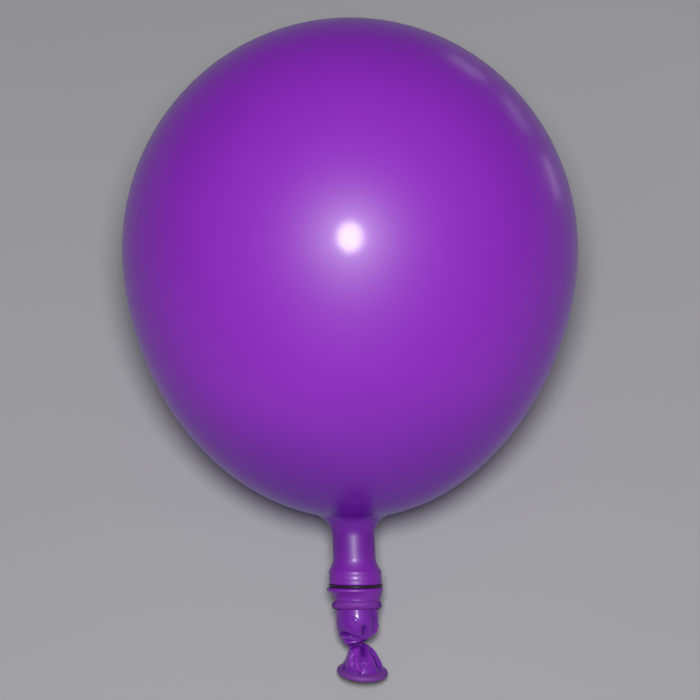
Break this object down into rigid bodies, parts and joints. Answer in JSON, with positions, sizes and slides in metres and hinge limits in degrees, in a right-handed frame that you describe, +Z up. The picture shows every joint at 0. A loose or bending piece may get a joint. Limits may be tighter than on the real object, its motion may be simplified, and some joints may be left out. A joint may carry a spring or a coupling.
{
  "type": "led balloon",
  "caption": "Round purple party balloon with a light plug clamped in its neck by a thin rubber ring, and a twisted filling tail with a pleated skirt and rolled lip.",
  "frame": {"origin": "middle of the small flat on the belly that the balloon lies on", "axes": "+Z up, +Y from the neck towards the crown along the floor, +X to the right as seen with the neck towards the viewer"},
  "size_m": [0.23, 0.3105, 0.2318],
  "materials": {
    "latex": "glossy stretched latex",
    "tail_latex": "glossy unstretched latex",
    "plug_plastic": "milky moulded plastic",
    "black_rubber": "satin black rubber"
  },
  "bodies": {
    "root": {"balloon": "latex", "filling_tail": "tail_latex", "light_plug": "plug_plastic", "rubber_ring": "black_rubber"}
  },
  "joints": []
}
